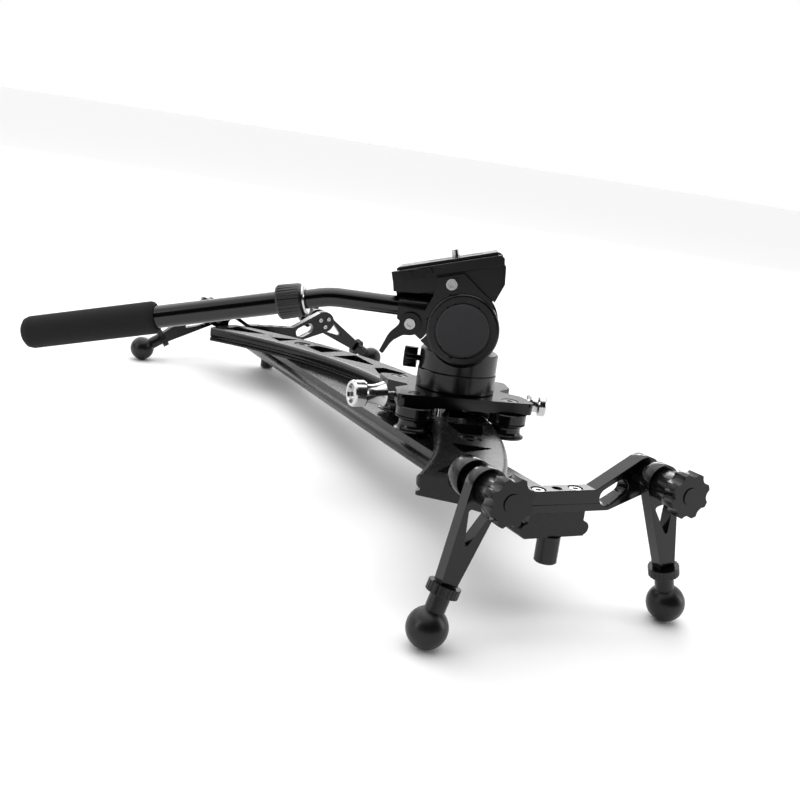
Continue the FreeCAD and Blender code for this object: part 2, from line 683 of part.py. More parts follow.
def make_lock_ring(corner):
    """The knurled lock nut between the leg's tip and the ball foot."""
    name = "lock_ring_" + corner
    body = new_body(name)
    sketch = sketch_on(body, "XY_Plane", -size["leg_tip_reach"] - size["gap"] - size["lock_ring_height"])
    circle(sketch, 0, 0, size["lock_ring_radius"])
    circle(sketch, 0, 0, size["stem_radius"] + size["run_clearance"])
    ring = pad(body, sketch, size["lock_ring_height"])
    notch = sketch_on(body, "XY_Plane", -size["leg_tip_reach"] - size["gap"] - size["lock_ring_height"])
    circle(notch, size["lock_ring_radius"] + 0.55, 0, 1.0)
    cut = pocket(body, notch, size["lock_ring_height"] + 1.0, reverse=True)
    polar(body, cut, 24)
    keep(body, name, leg_frame(corner))
    return ring


def make_foot(corner):
    """The ball foot: a rubber ball with its neck and the threaded stem moulded in."""
    name = "ball_foot_" + corner
    body = new_body(name)
    sketch = sketch_on(body, "XZ_Plane")
    ball = num("ball_radius")
    centre_z = -num("leg_length")
    neck = num("neck_radius")
    stem = num("stem_radius")
    joint_z = centre_z + math.sqrt(ball ** 2 - neck ** 2)
    top_z = -num("leg_tip_reach") + num("stem_in_leg")
    bottom = Vector(0, centre_z - ball, 0)
    side = Vector(ball, centre_z, 0)
    points = [Vector(neck, joint_z, 0), Vector(neck, -NECK_TOP, 0), Vector(stem, -NECK_TOP, 0),
              Vector(stem, top_z, 0), Vector(0, top_z, 0), bottom]
    sketch.addGeometry(Part.Arc(bottom, side, points[0]))
    for a, b in zip(points, points[1:]):
        sketch.addGeometry(Part.LineSegment(a, b))
    body.Tip = revolve(body, sketch)
    keep(body, name, leg_frame(corner))


def make_star_knob(corner):
    """An eight-lobed clamping knob on the leg's axle."""
    name = "star_knob_" + corner
    body = new_body(name)
    back = num("leg_thick") / 2 + num("gap")
    sketch = sketch_on(body, "XY_Plane", back)
    circle(sketch, 0, 0, size["knob_hub_radius"])
    pad(body, sketch, size["knob_hub_length"] + 0.5)
    face = sketch_on(body, "XY_Plane", back + num("knob_hub_length"))
    circle(face, 0, 0, size["knob_radius"])
    pad(body, face, size["knob_thick"])
    dent = sketch_on(body, "XY_Plane", back + num("knob_hub_length"))
    circle(dent, size["knob_radius"] + 2.9, 0, size["knob_dent_radius"])
    cut = pocket(body, dent, size["knob_thick"] + 1.0, reverse=True)
    polar(body, cut, 8)
    cap = sketch_on(body, "XY_Plane", back + num("knob_hub_length") + num("knob_thick"))
    circle(cap, 0, 0, size["knob_cap_radius"])
    pad(body, cap, 0.8)
    bore = sketch_on(body, "XY_Plane", back)
    circle(bore, 0, 0, size["axle_radius"] + size["run_clearance"])
    body.Tip = pocket(body, bore, 22.0, reverse=True)
    end, side = CORNERS[corner]
    place = corner_frame(end, side) * Placement(Vector(num("leg_plane"), 0, 0),
                                                Rotation(Vector(0, 1, 0), 90))
    keep(body, name, place)


# ---------------------------------------------------------------- carriage
OUTER_ROLLER = (math.sqrt((num("track_radius") + num("track_half_width") + num("roller_groove_radius")
                           + 0.1) ** 2 - num("wheelbase_half") ** 2) - num("track_radius"))
INNER_ROLLER = (num("track_radius") - math.sqrt(
    (num("track_radius") - num("track_half_width") - num("roller_groove_radius") - 0.1) ** 2
    - num("wheelbase_half") ** 2))
ROLLERS = {
    "near_inner": Vector(num("wheelbase_half"), -INNER_ROLLER, 0),
    "near_outer": Vector(num("wheelbase_half"), OUTER_ROLLER, 0),
    "far_inner": Vector(-num("wheelbase_half"), -INNER_ROLLER, 0),
    "far_outer": Vector(-num("wheelbase_half"), OUTER_ROLLER, 0),
}
PLATE_BOTTOM = num("plate_top") - num("plate_thick")


def make_carriage_plate():
    """The four-armed carriage plate."""
    body = new_body("carriage_plate")
    sketch = sketch_on(body, "XY_Plane", PLATE_BOTTOM)
    length = num("plate_half_length")
    width = num("plate_half_width")
    quarter = [(length, width, 5), (14.5, width - 3.0, 5), (2.5, width - 16.5, 5)]
    ring = [(x, y, r) for x, y, r in quarter] + [(-x, y, r) for x, y, r in reversed(quarter)]
    ring += [(-x, -y, r) for x, y, r in quarter] + [(x, -y, r) for x, y, r in reversed(quarter)]
    rounded(sketch, ring)
    pad(body, sketch, size["plate_thick"])
    holes = sketch_on(body, "XY_Plane", size["plate_top"])
    for spot in ROLLERS.values():
        circle(holes, spot.x, spot.y, size["roller_bolt_radius"] + size["run_clearance"])
    circle(holes, 0, 0, size["stud_thread_radius"] + size["run_clearance"])
    pocket(body, holes)
    sinks = sketch_on(body, "XY_Plane", size["plate_top"])
    for spot in ROLLERS.values():
        circle(sinks, spot.x, spot.y, 6.9)
    body.Tip = pocket(body, sinks, 4.4)
    for name in BRAKES:
        sketch = sketch_on(body, "XY_Plane")
        place = BRAKES[name][0]
        sketch.AttachmentOffset = place
        circle(sketch, 0, 0, 3.0)
        body.Tip = pocket(body, sketch, 30.0, reverse=True)
    keep(body, "carriage_plate", CARRIAGE)


def brake_place(x, y, degrees):
    """The frame of a brake knob: +Z points out along its screw, from the plate's edge."""
    out = Vector(math.cos(math.radians(degrees)), math.sin(math.radians(degrees)), 0)
    return Placement(Vector(x, y, num("brake_height")), Rotation(Vector(0, 0, 1), out))


BRAKES = {
    "brake_knob_inner": (brake_place(15.0, -40.5, -76.4), "brake_big_radius", 24.7, 28.0),
    "brake_knob_outer": (brake_place(11.5, 41.0, 76.0), "brake_small_radius", 17.6, 16.6),
    "brake_knob_rear": (brake_place(-30.0, 48.5, 180.0), "brake_rear_radius", 16.0, 15.0),
}


def make_brake_knob(name):
    """A flared brake knob with its screw: a waisted barrel with a wide rim and a hollow end."""
    place, rim_alias, stand, length = BRAKES[name]
    rim = num(rim_alias)
    waist = rim * 0.72
    body = new_body(name)
    sketch = sketch_on(body, "XZ_Plane")
    stem = num("guide_pin_radius")
    points = [Vector(x, y, 0) for x, y in (
        (0, 0.5), (2.95, 0.5), (2.95, 9.0), (stem, 9.8), (stem, stand), (rim * 0.9, stand),
        (rim * 0.95, stand + length * 0.03), (waist, stand + length * 0.58), (rim * 0.96, stand + length * 0.62),
        (rim, stand + length * 0.66), (rim, stand + length * 0.95), (rim * 0.93, stand + length),
        (rim * 0.74, stand + length), (rim * 0.66, stand + length * 0.9), (0, stand + length * 0.9))]
    for a, b in zip(points, points[1:] + points[:1]):
        if a is points[6]:
            middle = Vector(rim * 0.745, stand + length * 0.26, 0)
            sketch.addGeometry(Part.Arc(a, middle, b))
        else:
            sketch.addGeometry(Part.LineSegment(a, b))
    body.Tip = revolve(body, sketch)
    keep(body, name, CARRIAGE * place)


def make_guide_pin():
    """The bright pin under the plate's front edge."""
    pin = rod(num("guide_pin_radius"), PLATE_BOTTOM - 2.0, Vector(37.0, -21.5, 2.0))
    group("guide_pin", [pin], CARRIAGE)


def make_roller_discs():
    """The four spacer discs between the plate and the rollers."""
    bottom = PLATE_BOTTOM - num("disc_height")
    discs = []
    for spot in ROLLERS.values():
        disc = rod(num("disc_radius"), num("disc_height"), Vector(spot.x, spot.y, bottom))
        rims = [e for e in disc.Edges if e.Curve.TypeId == "Part::GeomCircle"]
        disc = disc.makeChamfer(0.6, rims)
        hole = rod(num("roller_bolt_radius") + num("run_clearance"), 20, Vector(spot.x, spot.y, bottom - 5))
        discs.append(disc.cut(hole))
    group("roller_discs", discs, CARRIAGE)


ROLLER_TOP = PLATE_BOTTOM - num("disc_height") - num("gap")
ROLLER_BOTTOM = ROLLER_TOP - num("roller_height")


def make_roller(name):
    """A grooved roller that grips the bead of the track."""
    spot = ROLLERS[name]
    rim = num("roller_radius")
    groove = num("roller_groove_radius")
    high = num("roller_height")
    bore = num("bearing_radius") + num("run_clearance")
    middle = -num("track_bead") - ROLLER_BOTTOM
    profile = [(bore, 0), (rim - 0.6, 0), (rim, 0.6), (rim, middle - 4.8), (groove + 1.6, middle - 3.9),
               (groove + 0.6, middle - 2.9), (groove, middle - 1.2), (groove, middle + 1.2),
               (groove + 0.6, middle + 2.9), (groove + 1.6, middle + 3.9), (rim, middle + 4.8),
               (rim, high), (bore, high)]
    place = CARRIAGE * Placement(Vector(spot.x, spot.y, ROLLER_BOTTOM), Rotation())
    turned_part("roller_" + name, profile, place)


def make_roller_bearings():
    """The ball bearings inside the rollers, each drawn as one sealed ring."""
    bearings = []
    for spot in ROLLERS.values():
        base = Vector(spot.x, spot.y, ROLLER_BOTTOM + 0.3)
        ring = rod(num("bearing_radius"), num("roller_height") + num("gap") - 0.3, base)
        bearings.append(ring.cut(rod(num("roller_bolt_radius"), 30, base - Vector(0, 0, 5))))
    group("roller_bearings", bearings, CARRIAGE)


def make_roller_bolts():
    """Four bolts from the plate's top down through disc and roller, each with its retaining nut."""
    bolts = []
    head_seat = num("plate_top") - 4.4
    reach = head_seat - ROLLER_BOTTOM + 0.6
    bolt = cap_screw(6.5, 4.0, num("roller_bolt_radius"), reach, 2.6)
    for spot in ROLLERS.values():
        whole = bolt.fuse(rod(6.4, 2.1, Vector(0, 0, -reach - 1.2))).removeSplitter()
        bolts.append(placed(whole, Placement(Vector(spot.x, spot.y, head_seat), Rotation())))
    group("roller_bolts", bolts, CARRIAGE)


def make_head_bolt():
    """The screw and washer that hold the fluid head on the plate from below."""
    washer = rod(11.0, 2.0, Vector(0, 0, PLATE_BOTTOM - 2.0))
    head = hexagon_prism(8.0, 4.2)
    head.translate(Vector(0, 0, PLATE_BOTTOM - 6.2))
    shank = rod(num("stud_thread_radius"), num("plate_thick") + 6.8, Vector(0, 0, PLATE_BOTTOM))
    group("head_bolt", [washer.fuse(head).fuse(shank).removeSplitter()], CARRIAGE)


# ---------------------------------------------------------------- fluid head
PAN_BOTTOM = num("plate_top") + num("base_height") + num("gap")
PAN_TOP = PAN_BOTTOM + num("pan_height")


def make_head_base():
    """The fixed base of the head, bored for the pan shaft and threaded for the head bolt."""
    radius = num("base_radius")
    high = num("base_height")
    bore = num("pan_shaft_radius") + num("run_clearance")
    thread = num("stud_thread_radius") + num("run_clearance")
    shelf = high - 7.7
    profile = [(thread, 0), (radius - 0.8, 0), (radius, 0.8), (radius, high - 0.5), (radius - 0.5, high),
               (bore, high), (bore, shelf), (thread, shelf)]
    turned_part("head_base", profile, HEAD * Placement(Vector(0, 0, num("plate_top")), Rotation()))


def make_pan_body():
    """The panning drum, hollowed on top for the tilt drum and beside it for the cheeks' rings."""
    body = new_body("pan_body")
    sketch = sketch_on(body, "XZ_Plane")
    radius = num("base_radius") - 0.4
    high = num("pan_height")
    shaft = num("pan_shaft_radius")
    reach = -num("gap") - 7.4
    outline(sketch, [(0, reach), (shaft, reach), (shaft, 0), (radius - 0.5, 0), (radius, 0.5),
                     (radius, high - 1.2), (radius - 1.2, high), (0, high)])
    revolve(body, sketch)
    axis_up = size["tilt_height"] - PAN_BOTTOM
    trough = sketch_on(body, "XZ_Plane")
    circle(trough, 0, axis_up, size["drum_radius"])
    pocket(body, trough, size["drum_half_length"] * 2, both=True)
    for side in (-1, 1):
        scoop = sketch_on(body, "XZ_Plane", size["drum_half_length"] * side)
        circle(scoop, 0, axis_up, size["pan_scoop_radius"])
        pocket(body, scoop, 20.0, reverse=side > 0)
    knob_hole = sketch_on(body, "YZ_Plane", -(radius + 2))
    circle(knob_hole, 0, 5.6, 2.5 + num("run_clearance"))
    body.Tip = pocket(body, knob_hole, 12.0, reverse=True)
    keep(body, "pan_body", HEAD * Placement(Vector(0, 0, PAN_BOTTOM), Rotation()))


PAN_KNOB_HEIGHT = PAN_BOTTOM + 5.6
PAN_KNOB_START = num("base_radius") + 1.0
PAN_KNOB = HEAD * Placement(Vector(-PAN_KNOB_START, 0, PAN_KNOB_HEIGHT), Rotation(Vector(0, 1, 0), -90))


def make_pan_knob():
    """The small fluted knob that locks the pan."""
    body = new_body("pan_lock_knob")
    stem = sketch_on(body, "XY_Plane", -8.0)
    circle(stem, 0, 0, 2.5)
    pad(body, stem, 9.0)
    grip = sketch_on(body, "XY_Plane", 0.6)
    circle(grip, 0, 0, 8.6)
    pad(body, grip, 11.0)
    dent = sketch_on(body, "XY_Plane", 0.6)
    circle(dent, 9.6, 0, 1.9)
    cut = pocket(body, dent, 12.0, reverse=True)
    polar(body, cut, 10)
    keep(body, "pan_lock_knob", PAN_KNOB)


def make_tilt_drum():
    """The fixed drum that the tilting cheeks turn on, with its pedestal on the pan."""
    body = new_body("tilt_drum")
    sketch = sketch_on(body, "XZ_Plane")
    circle(sketch, 0, 0, size["drum_radius"])
    pad(body, sketch, size["drum_half_length"] * 2, both=True)
    foot = sketch_on(body, "XZ_Plane")
    low = PAN_TOP - num("tilt_height")
    outline(foot, [(-17, low), (17, low), (17, -10), (-17, -10)])
    pad(body, foot, size["drum_half_length"] * 2, both=True)
    bore = sketch_on(body, "XZ_Plane")
    circle(bore, 0, 0, size["tilt_axle_radius"] + size["run_clearance"])
    body.Tip = pocket(body, bore, 80.0, both=True)
    keep(body, "tilt_drum", HEAD_AXIS)


def make_tilt_axle():
    """The axle that joins the two cheeks through the drum."""
    half = num("cheek_outer")
    shape = rod(num("tilt_axle_radius"), 2 * half, Vector(0, -half, 0), Vector(0, 1, 0))
    group("tilt_axle", [shape], TILT)


def tilt_point(x, z):
    """A point given level with the head, in the tilted frame's own x and z."""
    angle = math.radians(num("rest_tilt"))
    return Vector(x * math.cos(angle) + z * math.sin(angle), -x * math.sin(angle) + z * math.cos(angle), 0)


def make_cradle():
    """The block under the camera platform, which straddles the drum and carries the handle clamp."""
    body = new_body("tilt_cradle")
    top = size["receiver_bottom"]
    sketch = sketch_on(body, "XZ_Plane")
    outline(sketch, [(-49.4, top), (-50.0, 38.0), (-30.0, 33.4), (-6.0, 33.4), (20.0, 26.0), (27.8, 17.4),
                     (37.7, 30.1), (40.3, 43.0), (40.3, top)])
    pad(body, sketch, size["cheek_inner"] * 2, both=True)
    rear = sketch_on(body, "XZ_Plane", (size["clamp_inner"] - 0.4 - size["cheek_inner"]) * 0.5)
    outline(rear, [(-50.0, 38.5), (-50.8, 15.4), (-44.8, 7.4), (-34.0, 3.6), (-24.0, 2.4), (-8.0, 18.0), (-8.0, 34.5)])
    pad(body, rear, size["cheek_inner"] + size["clamp_inner"] - 0.4, both=True)
    clear = sketch_on(body, "XZ_Plane")
    circle(clear, 0, 0, size["drum_radius"] + 1.2)
    pocket(body, clear, 80.0, both=True)
    bolt = tilt_point(-num("clamp_bolt_back"), -num("clamp_bolt_drop"))
    hole = sketch_on(body, "XZ_Plane")
    circle(hole, bolt.x, bolt.y, 3.0)
    circle(hole, -3.2, 36.9, 2.5)
    body.Tip = pocket(body, hole, 80.0, both=True)
    keep(body, "tilt_cradle", TILT)


def make_cheek(name, side):
    """A side cheek: a ring boss on the tilt axis, a sloping arm up to the platform and a rear fin.

    A round recess at its back clears the hub of the handle's lever.  Side 1 is the handle's side.
    """
    body = new_body(name)
    ring = num("ring_radius")
    bolt = tilt_point(-num("clamp_bolt_back"), -num("clamp_bolt_drop"))
    corner = tilt_point(-31.6, -13.2)
    touch = tangent_point(corner, Vector(0, 0, 0), ring, left=False)
    top = num("receiver_bottom") - 1.4
    recess = 15.6
    upper = tilt_point(-26.4, 17.2)
    start = bolt + (upper - bolt).normalize() * recess
    end = bolt + (corner - bolt).normalize() * recess
    middle = bolt + Vector(1, -0.12, 0).normalize() * recess
    sloping = Vector(26.3, 12.2, 0)
    plate = sketch_on(body, "XZ_Plane")
    lift = side * (num("cheek_outer") + num("cheek_inner")) / 2
    plate.AttachmentOffset = Placement(Vector(0, 0, lift), Rotation())
    high = tilt_point(-26.4, 24.0)
    edges = [Part.Arc(start, middle, end), Part.LineSegment(end, touch),
             Part.Arc(touch, Vector(0, -ring, 0), sloping), Part.LineSegment(sloping, Vector(26.3, 17.7, 0)),
             Part.LineSegment(Vector(26.3, 17.7, 0), Vector(7.6, top, 0)),
             Part.LineSegment(Vector(7.6, top, 0), Vector(high.x + 4.5, top, 0)),
             Part.LineSegment(Vector(high.x + 4.5, top, 0), high), Part.LineSegment(high, start)]
    for edge in edges:
        plate.addGeometry(edge)
    pad(body, plate, size["cheek_outer"] - size["cheek_inner"], both=True)
    rim = sketch_on(body, "XZ_Plane")
    rim.AttachmentOffset = Placement(Vector(0, 0, side * (num("cheek_outer") - 0.5
                                                            + num("ring_outer_face")) / 2), Rotation())
    circle(rim, 0, 0, ring)
    circle(rim, 0, 0, size["cap_radius"] + 1.8)
    raised = pad(body, rim, num("ring_outer_face") - num("cheek_outer") + 0.5, both=True)
    soften(body, raised, 2.4, lambda edge: abs(edge.Curve.Radius - ring) < 0.01
           and abs(abs(edge.Curve.Center.y) - num("ring_outer_face")) < 0.01)
    boss = sketch_on(body, "XZ_Plane")
    boss.AttachmentOffset = Placement(Vector(0, 0, side * (num("cheek_outer") + 0.2)), Rotation())
    circle(boss, -3.2, 36.9, 5.9)
    pad(body, boss, 1.4, both=True)
    bore = sketch_on(body, "XZ_Plane")
    circle(bore, 0, 0, size["tilt_axle_radius"])
    circle(bore, -3.2, 36.9, 2.6)
    body.Tip = pocket(body, bore, 100.0, both=True)
    keep(body, name, TILT)


def make_side_caps():
    """The two round covers in the cheeks' rings."""
    profile = [Vector(0, 0, 0), Vector(num("cap_radius"), 0, 0),
               Vector(num("cap_radius"), 0, num("cap_face") - num("cheek_outer") - 0.9),
               Vector(num("cap_radius") - 0.9, 0, num("cap_face") - num("cheek_outer")),
               Vector(0, 0, num("cap_face") - num("cheek_outer")), Vector(0, 0, 0)]
    cap = Part.Face(Part.makePolygon(profile)).revolve(Vector(0, 0, 0), Vector(0, 0, 1), 360)
    caps = []
    for side in (-1, 1):
        place = Placement(Vector(0, side * num("cheek_outer"), 0), Rotation(Vector(1, 0, 0), -90 * side))
        caps.append(placed(cap, place))
    group("side_caps", caps, TILT)


def make_cheek_bolts():
    """The silver hexagon-socket bolts that hold the cheeks on the cradle."""
    bolt = cap_screw(4.4, 2.6, 2.5, 12.0, 2.2)
    bolts = []
    for side in (-1, 1):
        place = Placement(Vector(-3.2, side * (num("cheek_outer") + 0.9), 36.9),
                          Rotation(Vector(1, 0, 0), -90 * side))
        bolts.append(placed(bolt, place))
    group("cheek_bolts", bolts, TILT)


def make_receiver():
    """The quick-release receiver: a platform with a dovetail channel along it."""
    body = new_body("plate_receiver")
    sketch = sketch_on(body, "XZ_Plane")
    back, front = num("receiver_back"), num("receiver_front")
    low, top = num("receiver_bottom"), num("receiver_top")
    outline(sketch, [(back, low), (front - 1.0, low), (front, top - 3), (front - 2.5, top), (back, top)])
    pad(body, sketch, size["receiver_half_width"] * 2, both=True)
    cut = sketch_on(body, "YZ_Plane")
    floor = top - num("dovetail_depth")
    wide, narrow = num("dovetail_half_bottom"), num("dovetail_half_top")
    outline(cut, [(-wide, floor), (wide, floor), (narrow, top + 1), (-narrow, top + 1)])
    body.Tip = pocket(body, cut, 300.0, both=True)
    keep(body, "plate_receiver", TILT)


def make_quick_plate():
    """The sliding camera plate, with a slot for the camera screw."""
    body = new_body("quick_plate")
    sketch = sketch_on(body, "YZ_Plane")
    top = num("receiver_top")
    floor = top - num("dovetail_depth") + num("gap")
    wide, narrow = num("dovetail_half_bottom"), num("dovetail_half_top")
    slope = (wide - narrow) / (num("dovetail_depth") + 1)
    low_half = wide - slope * num("gap") - 0.35
    high_half = low_half - slope * (top + 0.3 - floor)
    crown = top + num("quick_plate_rise")
    outline(sketch, [(-low_half, floor), (low_half, floor), (high_half, top + 0.3), (21.5, top + 0.3),
                     (21.5, crown), (-21.5, crown), (-21.5, top + 0.3), (-high_half, top + 0.3)])
    pad(body, sketch, size["plate_length"], both=True)
    cut = sketch_on(body, "XY_Plane", crown)
    slot(cut, 6.0, 0, 46.0, 6.6, 0)
    pocket(body, cut, 20.0)
    well = sketch_on(body, "XY_Plane", floor)
    slot(well, 6.0, 0, 56.0, 17.0, 0)
    body.Tip = pocket(body, well, 3.4, reverse=True)
    keep(body, "quick_plate", TILT * Placement(Vector(-4.0, 0, 0), Rotation()))


CAMERA_SCREW_X = 2.0


def make_camera_screw():
    """The quarter-inch camera screw in the plate's slot."""
    top = num("receiver_top")
    floor = top - num("dovetail_depth") + num("gap")
    crown = top + num("quick_plate_rise")
    head = rod(8.0, 2.6, Vector(CAMERA_SCREW_X, 0, floor + 0.4))
    neck = rod(2.6, crown + 0.5 - floor, Vector(CAMERA_SCREW_X, 0, floor + 0.4))
    shank = rod(num("accessory_hole_radius"), 5.5, Vector(CAMERA_SCREW_X, 0, crown + 0.6))
    coin = Part.makeBox(20, 1.4, 1.2, Vector(CAMERA_SCREW_X - 10, -0.7, floor + 0.3))
    group("camera_screw", [head.fuse(neck).fuse(shank).cut(coin).removeSplitter()], TILT)


LOCK_LEVER = TILT * Placement(Vector(-36.0, -num("receiver_half_width") - 0.3, 49.0),
                              Rotation(Vector(1, 0, 0), 90))


def make_plate_lock():
    """The small lever on the receiver's side that clamps the camera plate."""
    body = new_body("plate_lock_lever")
    sketch = sketch_on(body, "XY_Plane")
    rounded(sketch, [(-5.5, -4.0, 3.9), (5.5, -4.0, 3.9), (19.0, -2.4, 2.0), (19.0, 2.4, 2.0), (5.5, 4.0, 3.9),
                     (-5.5, 4.0, 3.9)])
    pad(body, sketch, 4.6)
    boss = sketch_on(body, "XY_Plane", 4.6)
    circle(boss, 0, 0, 3.4)
    body.Tip = pad(body, boss, 1.0)
    keep(body, "plate_lock_lever", LOCK_LEVER)


CLAMP = HEAD_AXIS * Placement(Vector(-num("clamp_bolt_back"), 0, -num("clamp_bolt_drop")), Rotation())


def make_clamp():
    """The handle clamp on the tilting block: a hub round its bolt and a sleeve for the tube."""
    body = new_body("handle_clamp")
    rise = num("handle_rise") + num("clamp_bolt_drop")
    hub = 15.2
    left = -11.4
    right = 13.6
    slant = math.radians(-35.2)
    along = Vector(math.cos(slant), math.sin(slant), 0)
    foot = Vector(math.sin(slant), -math.cos(slant), 0) * 4.6
    low_left = foot + along * ((left - foot.x) / along.x)
    low_right = foot + along * math.sqrt(hub ** 2 - 4.6 ** 2)
    side_point = Vector(right, math.sqrt(hub ** 2 - right ** 2), 0)
    sketch = sketch_on(body, "XZ_Plane", (size["clamp_inner"] + size["clamp_outer"]) * 0.5)
    corners = [low_left, low_right]
    sketch.addGeometry(Part.LineSegment(*corners))
    sketch.addGeometry(Part.Arc(low_right, Vector(hub, 0, 0), side_point))
    for a, b in ((side_point, Vector(right, rise, 0)), (Vector(right, rise, 0), Vector(left, rise, 0)),
                 (Vector(left, rise, 0), low_left)):
        sketch.addGeometry(Part.LineSegment(a, b))
    pad(body, sketch, size["clamp_outer"] - size["clamp_inner"], both=True)
    sleeve = sketch_on(body, "YZ_Plane", right)
    circle(sleeve, -size["handle_depth"], size["handle_rise"] + size["clamp_bolt_drop"], size["sleeve_radius"])
    pad(body, sleeve, right - left, reverse=True)
    bore = sketch_on(body, "YZ_Plane", 7.0)
    circle(bore, -size["handle_depth"], size["handle_rise"] + size["clamp_bolt_drop"], size["tube_radius"])
    pocket(body, bore, 40.0)
    hole = sketch_on(body, "XZ_Plane")
    circle(hole, 0, 0, 3.0)
    body.Tip = pocket(body, hole, 100.0, both=True)
    keep(body, "handle_clamp", CLAMP)


def make_clamp_bolt():
    """The silver bolt through the handle clamp."""
    face = num("clamp_outer") + 4.6
    bolt = cap_screw(4.4, 2.6, 2.95, face + 6.0, 2.2)
    group("clamp_bolt", [placed(bolt, Placement(Vector(0, -face, 0), Rotation(Vector(1, 0, 0), 90)))], CLAMP)


def make_clamp_lever():
    """The curved lever under the clamp bolt."""
    body = new_body("clamp_lever")
    sketch = sketch_on(body, "XZ_Plane")
    sketch.AttachmentOffset = Placement(Vector(0, 0, num("clamp_outer") + 0.4), Rotation())
    rounded(sketch, [(8.6, 8.6, 8.5), (8.6, -8.8, 8.6), (-4.5, -9.6, 6.0), (-12.8, -15.5, 14), (-19.0, -26.8, 1.3),
                     (-22.2, -24.8, 1.3), (-16.0, -9.4, 16), (-8.6, -1.5, 7), (-8.6, 8.6, 8.5)])
    pad(body, sketch, 4.2)
    hole = sketch_on(body, "XZ_Plane")
    circle(hole, 0, 0, 3.0)
    body.Tip = pocket(body, hole, 100.0, both=True)
    keep(body, "clamp_lever", CLAMP)


# ---------------------------------------------------------------- pan handle
BEND = math.radians(num("handle_bend"))
HANDLE = HEAD_AXIS * Placement(Vector(0, -num("handle_depth"), num("handle_rise")), Rotation())
BEND_END = Vector(-num("bend_start") - num("bend_radius") * math.sin(BEND), 0,
                  -num("bend_radius") * (1 - math.cos(BEND)))
# +Z of the drooping frame runs out along the handle
DROOP = HANDLE * Placement(BEND_END, Rotation(Vector(0, 1, 0), -90 - num("handle_bend")))
COLLAR_START = 12.4
INNER_RUN = 120.0


def make_inner_tube():
    """The bent inner tube: a straight run, a bend down and a long run inside the outer tube."""
    body = new_body("inner_tube")
    path = sketch_on(body, "XZ_Plane")
    start = Vector(-36.2, 0, 0)
    bend_start = Vector(-num("bend_start"), 0, 0)
    radius = num("bend_radius")

    def on_bend(angle):
        return Vector(bend_start.x - radius * math.sin(angle), -radius * (1 - math.cos(angle)), 0)

    far_end = on_bend(BEND) + Vector(-math.cos(BEND), -math.sin(BEND), 0) * INNER_RUN
    path.addGeometry(Part.LineSegment(start, bend_start))
    path.addGeometry(Part.Arc(bend_start, on_bend(BEND / 2), on_bend(BEND)))
    path.addGeometry(Part.LineSegment(on_bend(BEND), far_end))
    section = sketch_on(body, "YZ_Plane", start.x)
    circle(section, 0, 0, size["tube_radius"])
    circle(section, 0, 0, size["tube_radius"] - size["tube_wall"])
    pipe = body.newObject("PartDesign::AdditivePipe", "inner_tube_pipe")
    pipe.Profile = section
    pipe.Spine = path
    body.Tip = pipe
    keep(body, "inner_tube", HANDLE)


def make_outer_tube():
    """The outer tube that telescopes over the inner one."""
    inner = num("tube_radius") + num("run_clearance")
    outer = num("outer_tube_radius")
    start = COLLAR_START + 4.0
    end = COLLAR_START + num("collar_length") + num("outer_tube_bare") + num("grip_length") - 6.0
    turned_part("outer_tube", [(inner, start), (outer, start), (outer, end), (inner, end)], DROOP)


def make_collar():
    """The ribbed twist collar that locks the telescoping tubes."""
    body = new_body("twist_collar")
    sketch = sketch_on(body, "XZ_Plane")
    inner = num("tube_radius") + num("gap")
    sleeve = num("outer_tube_radius") + num("run_clearance")
    rim = num("collar_radius")
    low = COLLAR_START
    high = low + num("collar_length")
    outline(sketch, [(inner, low), (rim - 1.6, low), (rim - 0.2, low + 2.2), (rim + 0.3, high - 2.0),
                     (rim - 1.0, high), (sleeve, high), (sleeve, low + 3.6), (inner, low + 3.6)])
    revolve(body, sketch)
    notch = sketch_on(body, "XY_Plane", low + 1.6)
    circle(notch, rim + 0.75, 0, 1.15)
    cut = pocket(body, notch, num("collar_length") - 3.0, reverse=True)
    polar(body, cut, 30)
    keep(body, "twist_collar", DROOP)


def make_collar_ring():
    """The bright trim ring at the collar's head end."""
    inner = num("tube_radius") + num("gap")
    start = COLLAR_START - 2.0
    turned_part("collar_ring", [(inner, start), (num("collar_radius") - 2.6, start),
                                (num("collar_radius") - 1.8, start + 0.6),
                                (num("collar_radius") - 1.8, start + 2.0), (inner, start + 2.0)], DROOP)


GRIP_START = COLLAR_START + num("collar_length") + num("outer_tube_bare")


def make_grip():
    """The foam grip with rounded ends."""
    bore = num("outer_tube_radius")
    rim = num("grip_radius")
    low = GRIP_START
    high = low + num("grip_length")
    turned_part("foam_grip", [(bore, low), (rim - 2.6, low), (rim - 0.8, low + 1.0), (rim, low + 3.0),
                              (rim, high - 7.0), (rim - 1.2, high - 3.2), (rim - 4.2, high - 0.8),
                              (rim - 7.4, high), (0, high), (0, high - 6.0), (bore, high - 6.0)], DROOP)


# ---------------------------------------------------------------- build
make_rail()
make_track()
make_track_bolts()
for end_name in END_FRAMES:
    make_bracket("bracket_" + end_name, end_name)
make_bracket_screws()
make_pivot_axles()
make_axle_screws()
make_studs()
for corner_name in CORNERS:
    make_leg(corner_name)
    make_lock_ring(corner_name)
    make_foot(corner_name)
    make_star_knob(corner_name)
make_carriage_plate()
for brake_name in BRAKES:
    make_brake_knob(brake_name)
make_guide_pin()
make_roller_discs()
for roller_name in ROLLERS:
    make_roller(roller_name)
make_roller_bearings()
make_roller_bolts()
make_head_bolt()
make_head_base()
make_pan_body()
make_pan_knob()
make_tilt_drum()
make_tilt_axle()
make_cradle()
make_cheek("cheek_handle_side", 1)
make_cheek("cheek_far_side", -1)
make_side_caps()
make_cheek_bolts()
make_receiver()
make_quick_plate()
make_camera_screw()
make_plate_lock()
make_clamp()
make_clamp_bolt()
make_clamp_lever()
make_inner_tube()
